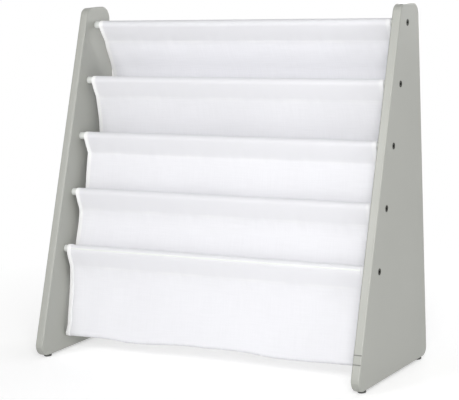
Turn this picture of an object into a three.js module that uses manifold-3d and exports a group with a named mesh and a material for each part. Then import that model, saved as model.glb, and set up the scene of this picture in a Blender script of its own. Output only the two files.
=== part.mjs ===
// A children's sling bookshelf: two sloping side panels joined by five steel tube rods,
// with one strip of cloth sewn round the rods that hangs between them as four book pockets.
import * as THREE from "three";
import { mergeVertices } from "three/addons/utils/BufferGeometryUtils.js";
import Module from "manifold-3d";

const wasm = await Module();
wasm.setup();

// Millimetres. X runs left to right, Y front to back and Z up from the floor.
// Whole rack
const rackWidth = 635;
const rackHeight = 605;

// Side panels: painted board, upright at the back and sloping at the front
const panelThickness = 15.9;
const panelFootDepth = 274;
const panelTopDepth = 68;
const cornerFrontBottom = 18;
const cornerBackBottom = 16;
const cornerBackTop = 20;
const cornerFrontTop = 16;
const edgeEase = 1.2;

// Rods: steel tubes in a row along the sloping edge
const rodDiameter = 12.7;
const rodWall = 1.2;
const rodPitch = 102.8;
const rodSetback = 30.4;
const topRodDrop = 31.4;
const rodSeatGap = 0.3;

// Threaded inserts pressed into the ends of each rod
const insertLength = 24;
const insertPressGap = 0.2;
const insertChamfer = 0.6;

// Screws: countersunk heads with a hexagon socket
const screwDiameter = 6;
const screwHeadDiameter = 11;
const screwHeadRim = 0.5;
const screwGrip = 16;
const screwTipChamfer = 0.9;
const screwRecess = 0.3;
const screwHoleGap = 0.35;
const threadGap = 0.2;
const socketAcrossFlats = 4;
const socketDepth = 2.4;

// Glides: nail-on plastic feet under the panels
const glideDiameter = 14;
const glideHeight = 3.5;
const glideRounding = 1;
const glideNailDiameter = 2.4;
const glideNailLength = 11;
const glideGap = 0.3;

// Sling cloth
const clothThickness = 1.2;
const clothSideGap = 10.9;
const sleeveEase = 0.8;
const seamDrop = 31;
const stitchBand = 4;
const layerGap = 0.4;
const pocketDrop = 154;
const foldRadius = 6;
const clothWave = 1.6;

// Gap from the cloth's edge to the panel at each rod, from the top, as shares of the side gap:
// the cloth is widest at the bottom
const sideGapShares = [1, 1, 1, 0.85, 0.6];
// How far each sleeve's seam hangs behind its rod, as shares of the seam drop
const seamSwingShares = [0.25, 0.1, 0.04, 0, -0.04];
// For each pocket: its back wall behind the rod in front of it, and its fold behind that rod,
// both as shares of the step back from one rod to the next
const mouthShares = [1.905, 1.16, 0.675, 0.675];
const foldSwingShares = [1.115, 0.23, -0.185, -0.51];
// Share of the side gap that the cloth's edges give way outward between a seam and the fold
const flareShare = 0.25;

// Cuts run past the face that they open
const overrun = 2;
// Points closer than this are one point
const weld = 0.0001;

const roundSides = 24;
const smallSides = 20;
const cornerSteps = 6;
const sleeveSteps = 14;
const wallSteps = 9;
const foldSteps = 6;
const clothStations = 15;

const rodCount = 5;
const hexSides = 6;
// Half waves along the cloth from its middle to each edge
const waveCount = 2.5;

const board = new THREE.MeshStandardMaterial({ color: 0xb0b1ab, roughness: 0.55, metalness: 0 });
const rodPaint = new THREE.MeshStandardMaterial({ color: 0xe9ebe8, roughness: 0.4, metalness: 0.1 });
const zincSteel = new THREE.MeshStandardMaterial({ color: 0xa9a8a2, roughness: 0.35, metalness: 1 });
const blackSteel = new THREE.MeshStandardMaterial({ color: 0x3a3a38, roughness: 0.4, metalness: 0.8 });
const darkPlastic = new THREE.MeshStandardMaterial({ color: 0x4a4b47, roughness: 0.6, metalness: 0 });
const whiteCloth = new THREE.MeshStandardMaterial({
  color: 0xf6f7fa,
  roughness: 0.9,
  metalness: 0,
  side: THREE.DoubleSide,
});

// A closed geometry as a solid: shared points merged, and faces without area left out
function solidOf(geometry) {
  const bare = geometry.clone();
  bare.deleteAttribute("normal");
  bare.deleteAttribute("uv");
  const merged = mergeVertices(bare, weld);
  const corners = merged.index.array;
  const faces = [];
  for (let i = 0; i < corners.length; i += 3) {
    const [a, b, c] = [corners[i], corners[i + 1], corners[i + 2]];
    if (a !== b && b !== c && c !== a) faces.push(a, b, c);
  }
  return new wasm.Manifold(
    new wasm.Mesh({
      numProp: 3,
      vertProperties: merged.attributes.position.array,
      triVerts: new Uint32Array(faces),
    }),
  );
}

function geometryOf(solid) {
  const mesh = solid.getMesh();
  const geometry = new THREE.BufferGeometry();
  geometry.setAttribute("position", new THREE.BufferAttribute(mesh.vertProperties, 3));
  geometry.setIndex(new THREE.BufferAttribute(mesh.triVerts, 1));
  geometry.computeVertexNormals();
  return geometry;
}

function cutFrom(solid, cutters) {
  return cutters.reduce((left, cutter) => left.subtract(cutter), solid);
}

function meshOf(name, geometry, material, x, y, z) {
  const mesh = new THREE.Mesh(geometry, material);
  mesh.name = name;
  mesh.position.set(x, y, z);
  return mesh;
}

// An outline drawn in the side view (Y, Z) becomes a solid that runs along X from zero
const sideView = new THREE.Matrix4().makeBasis(
  new THREE.Vector3(0, 1, 0),
  new THREE.Vector3(0, 0, 1),
  new THREE.Vector3(1, 0, 0),
);

function acrossRack(shape, length, steps, bevel = 0) {
  const geometry = new THREE.ExtrudeGeometry(shape, {
    depth: length - 2 * bevel,
    curveSegments: steps,
    bevelEnabled: bevel > 0,
    bevelThickness: bevel,
    bevelSize: bevel,
    bevelOffset: -bevel,
    bevelSegments: 2,
  });
  return geometry.translate(0, 0, bevel).applyMatrix4(sideView);
}

// A profile of [radius, distance] pairs turned about an axis along X. The distance grows outward
// from the middle of the rack, so side is -1 for the left end and 1 for the right end.
function turned(profile, sides, side) {
  const points = profile.map(([radius, along]) => new THREE.Vector2(radius, along));
  return new THREE.LatheGeometry(points, sides).rotateZ((-side * Math.PI) / 2);
}

// A polygon given counterclockwise, with each corner rounded to its own radius
function roundedOutline(corners, radii) {
  const shape = new THREE.Shape();
  corners.forEach((corner, i) => {
    const before = corners[(i + corners.length - 1) % corners.length].clone().sub(corner).normalize();
    const after = corners[(i + 1) % corners.length].clone().sub(corner).normalize();
    const half = Math.acos(before.dot(after)) / 2;
    const toCentre = radii[i] / Math.sin(half);
    const centre = before.clone().add(after).normalize().multiplyScalar(toCentre).add(corner);
    const start = before.multiplyScalar(radii[i] / Math.tan(half)).add(corner).sub(centre);
    const end = after.multiplyScalar(radii[i] / Math.tan(half)).add(corner).sub(centre);
    shape.absarc(centre.x, centre.y, radii[i], start.angle(), end.angle(), false);
  });
  shape.closePath();
  return shape;
}

// Side view of the rack: the back edges stand at Y = 0 until the finished rack is centred
const slope = new THREE.Vector2(panelFootDepth - panelTopDepth, rackHeight).normalize();
const intoPanel = new THREE.Vector2(slope.y, -slope.x);
const frontCornerAt = (z) => -panelFootDepth + (z * slope.x) / slope.y;
const panelCorners = [
  new THREE.Vector2(frontCornerAt(glideHeight), glideHeight),
  new THREE.Vector2(0, glideHeight),
  new THREE.Vector2(0, rackHeight),
  new THREE.Vector2(frontCornerAt(rackHeight), rackHeight),
];
const panelRadii = [cornerFrontBottom, cornerBackBottom, cornerBackTop, cornerFrontTop];
const frontCornerHalf = (Math.PI / 2 - Math.atan2(slope.x, slope.y)) / 2;
const frontFlatStart = panelCorners[0].x + cornerFrontBottom / Math.tan(frontCornerHalf);
const frontMost = frontFlatStart - cornerFrontBottom;

const innerX = rackWidth / 2 - panelThickness;
const topRodHeight = rackHeight - topRodDrop;
const topRod = new THREE.Vector2(frontCornerAt(topRodHeight) + rodSetback / intoPanel.x, topRodHeight);
const rods = Array.from({ length: rodCount }, (_, i) =>
  topRod.clone().addScaledVector(slope, -i * rodPitch),
);
const rodStepBack = rodPitch * slope.x;

// Screw hole with its countersink, as a cutter whose zero is the panel's outer face
const screwRadius = screwDiameter / 2;
const headRadius = screwHeadDiameter / 2;
const headTaper = headRadius - screwRadius;
function screwHole(side) {
  const hole = screwRadius + screwHoleGap;
  const mouth = headRadius + screwHoleGap;
  const coneEnd = -screwRecess - screwHeadRim - headTaper - screwHoleGap;
  return turned(
    [
      [0, -panelThickness - overrun],
      [hole, -panelThickness - overrun],
      [hole, coneEnd],
      [mouth, coneEnd + mouth - hole],
      [mouth, overrun],
      [0, overrun],
    ],
    roundSides,
    side,
  );
}

const glideRadius = glideDiameter / 2;
const glidePlaces = {
  front: frontFlatStart + glideRadius,
  back: -cornerBackBottom - glideRadius,
};

function nailHole() {
  const radius = glideNailDiameter / 2 + glideGap;
  return new THREE.CylinderGeometry(radius, radius, glideNailLength + overrun, smallSides)
    .rotateX(Math.PI / 2)
    .translate(0, 0, (glideNailLength - overrun) / 2);
}

function sidePanel(side) {
  const plate = acrossRack(roundedOutline(panelCorners, panelRadii), panelThickness, cornerSteps, edgeEase);
  plate.translate(side > 0 ? 0 : -panelThickness, 0, 0);
  const outerFace = side > 0 ? panelThickness : -panelThickness;
  const holes = rods.map((rod) => solidOf(screwHole(side).translate(outerFace, rod.x, rod.y)));
  const nails = Object.values(glidePlaces).map((y) =>
    solidOf(nailHole().translate(outerFace / 2, y, glideHeight)),
  );
  return geometryOf(cutFrom(solidOf(plate), [...holes, ...nails]));
}

// Rod: an open tube that stands between the panels
const rodRadius = rodDiameter / 2;
const boreRadius = rodRadius - rodWall;
const rodHalf = innerX - rodSeatGap;
function rodTube() {
  const profile = [
    [boreRadius, -rodHalf],
    [rodRadius, -rodHalf],
    [rodRadius, rodHalf],
    [boreRadius, rodHalf],
    [boreRadius, -rodHalf],
  ];
  return geometryOf(solidOf(turned(profile, roundSides, 1)));
}

// Insert: a round nut whose zero is the end of its rod
function rodInsert(side) {
  const outer = boreRadius - insertPressGap;
  const bore = screwRadius + threadGap;
  const profile = [
    [bore, -insertLength],
    [outer - insertChamfer, -insertLength],
    [outer, insertChamfer - insertLength],
    [outer, -insertChamfer],
    [outer - insertChamfer, 0],
    [bore, 0],
    [bore, -insertLength],
  ];
  return geometryOf(solidOf(turned(profile, smallSides, side)));
}

// Screw: its zero is the panel's outer face
function screw(side) {
  const tip = -panelThickness - rodSeatGap - screwGrip;
  const top = -screwRecess;
  const body = turned(
    [
      [0, tip],
      [screwRadius - screwTipChamfer, tip],
      [screwRadius, tip + screwTipChamfer],
      [screwRadius, top - screwHeadRim - headTaper],
      [headRadius, top - screwHeadRim],
      [headRadius, top],
      [0, top],
    ],
    smallSides,
    side,
  );
  const cornerRadius = socketAcrossFlats / 2 / Math.cos(Math.PI / hexSides);
  const socket = turned(
    [
      [0, top - socketDepth],
      [cornerRadius, top - socketDepth],
      [cornerRadius, overrun],
      [0, overrun],
    ],
    hexSides,
    side,
  );
  return geometryOf(cutFrom(solidOf(body), [solidOf(socket)]));
}

// Glide: a flat-bottomed disc with a nail, whose zero is the floor
function glide() {
  const profile = [
    [0, 0],
    [glideRadius - glideRounding, 0],
    [glideRadius, glideRounding],
    [glideRadius, glideHeight - glideGap],
    [glideNailDiameter / 2, glideHeight - glideGap],
    [glideNailDiameter / 2, glideHeight + glideNailLength - glideGap - glideNailDiameter],
    [0, glideHeight + glideNailLength - glideGap],
  ];
  const points = profile.map(([radius, up]) => new THREE.Vector2(radius, up));
  return geometryOf(solidOf(new THREE.LatheGeometry(points, smallSides).rotateX(Math.PI / 2)));
}

// Sling: at each seam two layers of cloth meet below the rod
const seams = rods.map((rod, i) =>
  rod.clone().add(new THREE.Vector2(seamDrop * seamSwingShares[i], -seamDrop)),
);
const seamHalf = clothThickness + layerGap / 2;
const layerOffset = (clothThickness + layerGap) / 2;
const sleeveInner = rodRadius + sleeveEase;
const sleeveOuter = sleeveInner + clothThickness;
const clothHalfAt = (i) => innerX - clothSideGap * sideGapShares[i];

// Angles at which the two tangents from a point below a circle touch it
function tangentAngles(point, radius) {
  const towards = Math.atan2(point.y, point.x);
  const spread = Math.acos(radius / point.length());
  return [towards + spread, towards - spread];
}

// Sleeve: a loop of cloth over the rod that closes at the seam, drawn about the rod's centre
function sleeve(i) {
  const seam = seams[i].clone().sub(rods[i]);
  const rightFoot = new THREE.Vector2(seam.x + seamHalf, seam.y);
  const leftFoot = new THREE.Vector2(seam.x - seamHalf, seam.y);
  const outline = new THREE.Shape();
  const [outerRight] = tangentAngles(rightFoot, sleeveOuter);
  const [, outerLeft] = tangentAngles(leftFoot, sleeveOuter);
  outline.moveTo(leftFoot.x, leftFoot.y);
  outline.lineTo(rightFoot.x, rightFoot.y);
  outline.absarc(0, 0, sleeveOuter, outerRight, outerLeft, false);
  outline.closePath();
  const apex = new THREE.Vector2(seam.x, seam.y + stitchBand);
  const [innerRight, innerLeft] = tangentAngles(apex, sleeveInner);
  const hollow = new THREE.Path();
  hollow.absarc(0, 0, sleeveInner, innerRight, innerLeft, false);
  hollow.lineTo(apex.x, apex.y);
  hollow.closePath();
  outline.holes.push(hollow);
  const half = clothHalfAt(i);
  return geometryOf(solidOf(acrossRack(outline, 2 * half, sleeveSteps).translate(-half, 0, 0)));
}

// Middle line of a pocket's cloth in the side view, from the seam at its back, round the fold,
// to the seam at its front. Each point also has its share of the way to the fold.
const frontLayer = -layerOffset;
function pocketLine(k) {
  const rodInFront = rods[k + 1];
  const lastPocket = k === rodCount - 2;
  const start = new THREE.Vector2(seams[k].x + frontLayer, seams[k].y - layerGap);
  const end = new THREE.Vector2(
    seams[k + 1].x + (lastPocket ? frontLayer : layerOffset),
    seams[k + 1].y - layerGap,
  );
  const foldCentre = new THREE.Vector2(
    rodInFront.x + rodStepBack * foldSwingShares[k],
    rodInFront.y - pocketDrop + foldRadius + clothThickness / 2,
  );
  const mouth = new THREE.Vector2(rodInFront.x + rodStepBack * mouthShares[k], rodInFront.y);
  const foldBack = new THREE.Vector2(foldCentre.x + foldRadius, foldCentre.y);
  const foldFront = new THREE.Vector2(foldCentre.x - foldRadius, foldCentre.y);
  const line = [];
  const add = (point, share) => line.push({ y: point.x, z: point.y, share });
  const backWall = new THREE.SplineCurve([start, mouth, foldBack]);
  backWall.getSpacedPoints(wallSteps).forEach((point, n) => add(point, n / wallSteps));
  for (let n = 1; n < foldSteps; n += 1) {
    const angle = (-Math.PI * n) / foldSteps;
    const round = new THREE.Vector2(Math.cos(angle), Math.sin(angle));
    add(round.multiplyScalar(foldRadius).add(foldCentre), 1);
  }
  const frontSteps = Math.ceil(wallSteps / 2);
  for (let n = 0; n <= frontSteps; n += 1) {
    add(foldFront.clone().lerp(end, n / frontSteps), 1 - n / frontSteps);
  }
  return line;
}

// A pocket's cloth: its line carried across the rack, thickened to both sides and closed.
// The cloth widens a little towards the fold and lies in shallow waves between the seams.
function pocket(k) {
  const line = pocketLine(k);
  const normals = line.map((point, n) => {
    const before = line[Math.max(n - 1, 0)];
    const after = line[Math.min(n + 1, line.length - 1)];
    return new THREE.Vector2(before.z - after.z, after.y - before.y).normalize();
  });
  const positions = [];
  for (let j = 0; j <= clothStations; j += 1) {
    const across = (2 * j) / clothStations - 1;
    const wave = clothWave * Math.cos(waveCount * Math.PI * across);
    for (const layer of [1, -1]) {
      line.forEach((point, n) => {
        const seamSide = n < line.length / 2 ? k : k + 1;
        const gapShare = sideGapShares[seamSide] - flareShare * point.share;
        const half = innerX - clothSideGap * gapShare;
        const bend = wave * Math.sin(point.share * Math.PI);
        const lift = wave * point.share * point.share;
        positions.push(
          across * half,
          point.y + bend + (layer * normals[n].x * clothThickness) / 2,
          point.z + lift + (layer * normals[n].y * clothThickness) / 2,
        );
      });
    }
  }
  const count = line.length;
  const at = (j, layer, n) => (2 * j + layer) * count + n;
  const faces = [];
  const quad = (a, b, c, d) => faces.push(a, b, c, a, c, d);
  for (let j = 0; j < clothStations; j += 1) {
    for (let n = 0; n < count - 1; n += 1) {
      quad(at(j, 0, n), at(j + 1, 0, n), at(j + 1, 0, n + 1), at(j, 0, n + 1));
      quad(at(j, 1, n), at(j, 1, n + 1), at(j + 1, 1, n + 1), at(j + 1, 1, n));
    }
    quad(at(j, 0, 0), at(j, 1, 0), at(j + 1, 1, 0), at(j + 1, 0, 0));
    quad(at(j, 0, count - 1), at(j + 1, 0, count - 1), at(j + 1, 1, count - 1), at(j, 1, count - 1));
  }
  for (let n = 0; n < count - 1; n += 1) {
    quad(at(0, 0, n), at(0, 0, n + 1), at(0, 1, n + 1), at(0, 1, n));
    const last = clothStations;
    quad(at(last, 0, n), at(last, 1, n), at(last, 1, n + 1), at(last, 0, n + 1));
  }
  const geometry = new THREE.BufferGeometry();
  geometry.setAttribute("position", new THREE.Float32BufferAttribute(positions, 3));
  geometry.setIndex(faces);
  return geometryOf(solidOf(geometry));
}

// Assembly, centred front to back
const rack = new THREE.Group();
rack.position.y = -frontMost / 2;

for (const [label, side] of [
  ["left", -1],
  ["right", 1],
]) {
  rack.add(meshOf(label + "_side_panel", sidePanel(side), board, side * innerX, 0, 0));
  for (const [place, y] of Object.entries(glidePlaces)) {
    const x = side * (innerX + panelThickness / 2);
    rack.add(meshOf(label + "_" + place + "_glide", glide(), darkPlastic, x, y, 0));
  }
  rods.forEach((rod, i) => {
    const insertX = side * rodHalf;
    const screwX = (side * rackWidth) / 2;
    rack.add(meshOf(`rod_${i + 1}_${label}_insert`, rodInsert(side), zincSteel, insertX, rod.x, rod.y));
    rack.add(meshOf(`rod_${i + 1}_${label}_screw`, screw(side), blackSteel, screwX, rod.x, rod.y));
  });
}

rods.forEach((rod, i) => {
  rack.add(meshOf(`rod_${i + 1}`, rodTube(), rodPaint, 0, rod.x, rod.y));
  rack.add(meshOf(`cloth_sleeve_${i + 1}`, sleeve(i), whiteCloth, 0, rod.x, rod.y));
});

for (let k = 0; k < rodCount - 1; k += 1) {
  rack.add(meshOf(`cloth_pocket_${k + 1}`, pocket(k), whiteCloth, 0, 0, 0));
}

export default rack;
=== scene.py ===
"""A children's sling bookshelf: two lacquered side panels, five tube rods and a sewn cloth sling.

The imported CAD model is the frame, and the places and outer sizes of its pieces are read from it.
This file adds the finish: rounded panels, rods, screws and glides, the strip of cloth with its
sleeves, pockets, hems and stitches, their materials, and the stage with its camera.
"""
import math

import bmesh
import bpy
import numpy as np
from bpy.props import FloatProperty, FloatVectorProperty, IntProperty, PointerProperty
from mathutils import Matrix, Vector


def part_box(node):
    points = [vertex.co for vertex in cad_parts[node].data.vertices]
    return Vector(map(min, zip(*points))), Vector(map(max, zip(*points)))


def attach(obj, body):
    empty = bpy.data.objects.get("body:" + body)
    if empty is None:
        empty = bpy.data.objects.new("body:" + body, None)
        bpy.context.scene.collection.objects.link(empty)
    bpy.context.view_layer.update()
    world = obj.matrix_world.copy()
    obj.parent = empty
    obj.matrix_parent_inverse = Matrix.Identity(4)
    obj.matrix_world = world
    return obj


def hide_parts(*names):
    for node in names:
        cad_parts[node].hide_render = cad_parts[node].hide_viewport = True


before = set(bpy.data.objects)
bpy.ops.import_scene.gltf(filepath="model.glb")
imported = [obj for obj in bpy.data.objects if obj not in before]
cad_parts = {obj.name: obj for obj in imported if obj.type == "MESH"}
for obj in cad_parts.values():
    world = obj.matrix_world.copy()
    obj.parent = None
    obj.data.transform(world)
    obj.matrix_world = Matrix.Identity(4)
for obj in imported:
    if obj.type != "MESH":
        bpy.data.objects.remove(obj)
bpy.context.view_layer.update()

bl_info = {
    "name": "Sling Bookshelf",
    "version": (1, 0, 0),
    "blender": (4, 5, 0),
    "location": "View3D > Sidebar > Bookshelf",
    "description": "Makes a children's sling bookshelf round its packed frame",
    "category": "Object",
}

MM = 0.001
BODY = "root"
SIDES = {"left": -1, "right": 1}
RODS = range(1, 6)
POCKETS = range(1, 5)


def hex_colour(code):
    """An sRGB hex colour as linear red, green, blue and alpha."""
    channels = [int(code[i : i + 2], 16) / 255 for i in (1, 3, 5)]
    linear = [c / 12.92 if c <= 0.04045 else ((c + 0.055) / 1.055) ** 2.4 for c in channels]
    return (*linear, 1.0)


# Places read from the frame: X across the rack, Y front to back and Z up
panel_low, panel_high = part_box("right_side_panel")
panel_thickness = panel_high.x - panel_low.x
rod_places = [sum(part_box(f"rod_{i}"), Vector()) / 2 for i in RODS]
rod_low, rod_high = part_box("rod_1")
rod_radius = (rod_high.z - rod_low.z) / 2
seam_heights = [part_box(f"cloth_sleeve_{i}")[0].z for i in RODS]
sleeve_halves = [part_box(f"cloth_sleeve_{i}")[1].x for i in RODS]
fold_heights = [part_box(f"cloth_pocket_{k}")[0].z for k in POCKETS]
rod_step_back = rod_places[0].y - rod_places[1].y


def length(name, description, default):
    """A length setting in metres."""
    return FloatProperty(name=name, description=description, default=default, unit="LENGTH", precision=5)


def number(name, description, default):
    """A setting that is a plain number."""
    return FloatProperty(name=name, description=description, default=default)


def colour(name, description, code):
    """A colour setting."""
    return FloatVectorProperty(
        name=name, description=description, default=hex_colour(code), subtype="COLOR", size=4, min=0, max=1
    )


class PanelSettings(bpy.types.PropertyGroup):
    """Sizes and colours of the two side panels."""

    foot_depth: length("Foot depth", "Depth of the sharp outline at the floor", 274 * MM)
    top_depth: length("Top depth", "Depth of the sharp outline at the top", 68 * MM)
    front_foot_radius: length("Front foot radius", "Rounding of the lower front corner", 18 * MM)
    back_foot_radius: length("Back foot radius", "Rounding of the lower back corner", 16 * MM)
    back_top_radius: length("Back top radius", "Rounding of the upper back corner", 20 * MM)
    front_top_radius: length("Front top radius", "Rounding of the upper front corner", 16 * MM)
    edge_rounding: length("Edge rounding", "Radius along the rims of the faces", 3 * MM)
    joint_height: length("Joint height", "Height of the upper joint in the front edge's band", 63.5 * MM)
    joint_piece: length("Joint piece", "Length of the short closing piece of that band", 14.5 * MM)
    joint_width: length("Joint width", "Width of the groove at a joint", 2 * MM)
    joint_depth: length("Joint depth", "Depth of the groove at a joint", 0.9 * MM)
    lacquer: colour("Lacquer", "Colour of the lacquer", "#9FA09A")


class RodSettings(bpy.types.PropertyGroup):
    """Sizes and colours of the rods, their inserts and their screws."""

    tube_wall: length("Tube wall", "Thickness of the rod's wall", 1.2 * MM)
    end_break: length("End break", "Chamfer on the rod's ends", 0.3 * MM)
    screw_head: length("Screw head", "Diameter of the screw's head", 11 * MM)
    screw_shank: length("Screw shank", "Diameter of the screw's shank", 6 * MM)
    screw_socket: length("Socket width", "Width across the flats of the hexagon socket", 4 * MM)
    socket_depth: length("Socket depth", "Depth of the hexagon socket", 2.4 * MM)
    coating: colour("Coating", "Colour of the rods' coating", "#E9EBE8")
    black: colour("Black oxide", "Colour of the screws", "#34342F")
    zinc: colour("Zinc", "Colour of the inserts", "#B7B6B0")


class SlingSettings(bpy.types.PropertyGroup):
    """Sizes and colours of the cloth, its hems and its stitches."""

    cloth: length("Cloth thickness", "Thickness of one layer", 0.5 * MM)
    sleeve_ease: length("Sleeve ease", "Room between the rod and the cloth round it", 1.15 * MM)
    hem: length("Hem width", "Width of the turned side hems", 8 * MM)
    seam_tail: length("Seam tail", "Cloth turned in past the first and last seam", 6 * MM)
    fold_radius: length("Fold radius", "Radius of the pockets' bottom folds", 6 * MM)
    flare: length("Flare", "How far each side widens below a seam", 1.4 * MM)
    fold_corner: length("Fold corner", "How far the corners of a fold stick out", 4 * MM)
    gather: length("Gather", "How far each side is drawn in at a seam", 1.2 * MM)
    stitch: length("Stitch", "Length of a stitch", 2.8 * MM)
    stitch_gap: length("Stitch gap", "Gap between two stitches", 0.6 * MM)
    thread: length("Thread", "Diameter of the sewing thread", 0.4 * MM)
    white: colour("Cloth colour", "Colour of the cloth", "#F7F7FA")
    # The whiter colour of double cloth is partly a painted highlight along the hems and seams
    doubled_and_highlit: colour("Double cloth colour", "Colour of the cloth where it lies double", "#FFFFFF")
    # The sleeves are painted darker by this share, as painted shade
    over_rod: number("Over the rods", "How light the sleeves are, as a share", 0.955)
    through_single: number("Through single cloth", "Share of the light that comes through one layer", 0.2)
    through_double: number("Through double cloth", "Share of the light that comes through a hem", 0.05)
    seed: IntProperty(name="Seed", description="Picks the small creases", default=7)


class GlideSettings(bpy.types.PropertyGroup):
    """Sizes and colour of the nail-on glides."""

    rounding: length("Rounding", "Rounding of the glide's lower rim", 1 * MM)
    nail: length("Nail", "Diameter of the nail", 2.4 * MM)
    plastic: colour("Plastic", "Colour of the glides", "#4A4B47")


class StageSettings(bpy.types.PropertyGroup):
    """Lamps, floor and camera of the stage."""

    left_power: number("Left power", "Watts of the high lamp at the left", 15)
    right_power: number("Right power", "Watts of the high lamp at the right", 20.2)
    low_power: number("Low power", "Watts of the low lamp at the right", 8.4)
    side_power: number("Side power", "Watts of the lamp beside the rack", 7.2)
    back_power: number("Back power", "Watts of the lamp behind", 20)
    sky: number("Sky", "Strength of the white surroundings", 0.35)
    floor: colour("Floor", "Colour of the floor", "#EEEEEE")
    floor_boost: number("Floor boost", "How much brighter the camera sees the floor", 1.4)
    floor_veil: number("Floor veil", "Share of plain white that the camera sees in the floor", 0.45)
    floor_fade: length("Floor fade", "How far from the rack the floor has faded to white", 1.0)


class BookshelfSettings(bpy.types.PropertyGroup):
    """All settings of the bookshelf."""

    panels: PointerProperty(type=PanelSettings)
    rods: PointerProperty(type=RodSettings)
    sling: PointerProperty(type=SlingSettings)
    glides: PointerProperty(type=GlideSettings)
    stage: PointerProperty(type=StageSettings)


def node(tree, kind, inputs=(), **settings):
    """Adds a node. inputs maps a socket's name or number to its value, or to the output it reads."""
    made = tree.nodes.new(kind)
    for name, value in settings.items():
        setattr(made, name, value)
    for key, value in dict(inputs).items():
        if isinstance(value, bpy.types.NodeSocket):
            tree.links.new(value, made.inputs[key])
        else:
            made.inputs[key].default_value = value
    return made


def surface(name, base, uv_map=None, **constants):
    """A material with one Principled shader: the material, its tree, that shader, and the place
    that its patterns read, in the UV map or else in the object. base is its plain colour."""
    material = bpy.data.materials.new(name)
    material.use_nodes = True
    material.diffuse_color = base
    tree = material.node_tree
    shader = tree.nodes["Principled BSDF"]
    shader.inputs["Base Color"].default_value = base
    for key, value in constants.items():
        shader.inputs[key.replace("_", " ")].default_value = value
    if uv_map:
        return material, tree, shader, node(tree, "ShaderNodeUVMap", uv_map=uv_map).outputs["UV"]
    return material, tree, shader, node(tree, "ShaderNodeTexCoord").outputs["Object"]


def shade(base, share):
    """The same colour, share times as bright."""
    return (*(min(c * share, 1) for c in base[:3]), 1.0)


def maths(tree, operation, *values):
    """The output of a Math node. Its values may be numbers or outputs."""
    return node(tree, "ShaderNodeMath", enumerate(values), operation=operation).outputs[0]


def attribute(tree, name):
    """A number that the mesh stores under that name."""
    return node(tree, "ShaderNodeAttribute", attribute_name=name).outputs["Fac"]


def noise(tree, at, size, detail=2.0):
    """A noise whose features are about size metres across."""
    settings = {"Vector": at, "Scale": 1 / size, "Detail": detail}
    return node(tree, "ShaderNodeTexNoise", settings).outputs["Fac"]


def spread(tree, value, low, high, start=0.3, end=0.7):
    """value, moved from the range start to end into the range low to high."""
    settings = {"Value": value, "From Min": start, "From Max": end, "To Min": low, "To Max": high}
    return node(tree, "ShaderNodeMapRange", settings).outputs["Result"]


def blended(tree, share, a, b):
    """A colour between a and b. Either may be a colour or an output."""
    return node(tree, "ShaderNodeMix", {0: share, 6: a, 7: b}, data_type="RGBA").outputs[2]


def patchy(tree, patches, base, dark, light):
    """The base colour, from dark to light times as bright where the patches say so."""
    return blended(tree, spread(tree, patches, 0, 1), shade(base, dark), shade(base, light))


def dressed(tree, shader, body, height, depth, roughness=None):
    """Gives the shader its colour, a bump of that depth in metres, and a roughness that varies."""
    tree.links.new(body, shader.inputs["Base Color"])
    if roughness:
        tree.links.new(roughness, shader.inputs["Roughness"])
    bump = node(tree, "ShaderNodeBump", {"Height": height, "Distance": depth, "Strength": 1.0})
    tree.links.new(bump.outputs["Normal"], shader.inputs["Normal"])


def mixed(tree, output, share, first, second):
    """Ends a tree in a mix of two shaders."""
    both = node(tree, "ShaderNodeMixShader", {0: share, 1: first.outputs[0], 2: second.outputs[0]})
    tree.links.new(both.outputs[0], tree.nodes[output].inputs["Surface"])


def lacquered_board(settings):
    """Satin lacquer sprayed on fibreboard: an even soft gloss with a faint orange peel, a little
    cloudy where the coats overlap, lighter along the rims, partly wear and partly a painted
    highlight, painted lighter on the front edge's band as painted light, and darker in its joints."""
    base = settings.lacquer
    material, tree, shader, at = surface("satin_lacquer_on_fibreboard", base, IOR=1.5)
    body = patchy(tree, noise(tree, at, 160 * MM, detail=1), base, 0.985, 1.015)
    # The rims are painted lighter in patches: partly wear, partly a painted highlight
    rim_wear_and_highlight = maths(tree, "MULTIPLY", attribute(tree, "rim"), spread(tree, noise(tree, at, 14 * MM), 0.2, 0.6))
    # How light the lacquer is, as a share: along the rims, wear and a painted highlight; on the band,
    # painted light; in its joints, darker
    for share, light in ((rim_wear_and_highlight, 1.08), (attribute(tree, "band"), 1.1), (attribute(tree, "joint"), 0.55)):
        body = blended(tree, share, body, shade(base, light))
    gloss = spread(tree, noise(tree, at, 60 * MM, detail=1), 0.32, 0.35)
    # Real peel is about 1 mm across. It is drawn at 2.5 mm, because finer than that it can't show.
    dressed(tree, shader, body, noise(tree, at, 2.5 * MM, detail=0), 0.003 * MM, gloss)
    return material


def powder_coated_steel(settings):
    """Off-white powder coat on steel tube: smooth, satin, with a fine pebbled skin."""
    material, tree, shader, at = surface("powder_coat_on_steel_tube", settings.coating, IOR=1.5)
    body = patchy(tree, noise(tree, at, 25 * MM), settings.coating, 0.97, 1)
    gloss = spread(tree, noise(tree, at, 8 * MM), 0.3, 0.42)
    dressed(tree, shader, body, noise(tree, at, 1.2 * MM), 0.02 * MM, gloss)
    return material


def plated_steel(name, base, roughness):
    """Turned steel under a thin plating: metallic, with fine rings from the lathe and a few dull
    patches. It serves the bright zinc of the inserts and the black oxide of the screws."""
    material, tree, shader, at = surface(name, base, Metallic=1.0)
    patches = noise(tree, at, 4 * MM, detail=3)
    gloss = spread(tree, patches, roughness - 0.06, roughness + 0.08)
    settings = {"Vector": at, "Scale": 1 / (7 * MM), "Distortion": 0.4}
    rings = node(tree, "ShaderNodeTexWave", settings, wave_type="BANDS", bands_direction="X").outputs["Fac"]
    dressed(tree, shader, patchy(tree, patches, base, 0.85, 1.12), rings, 0.01 * MM, gloss)
    return material


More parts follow.
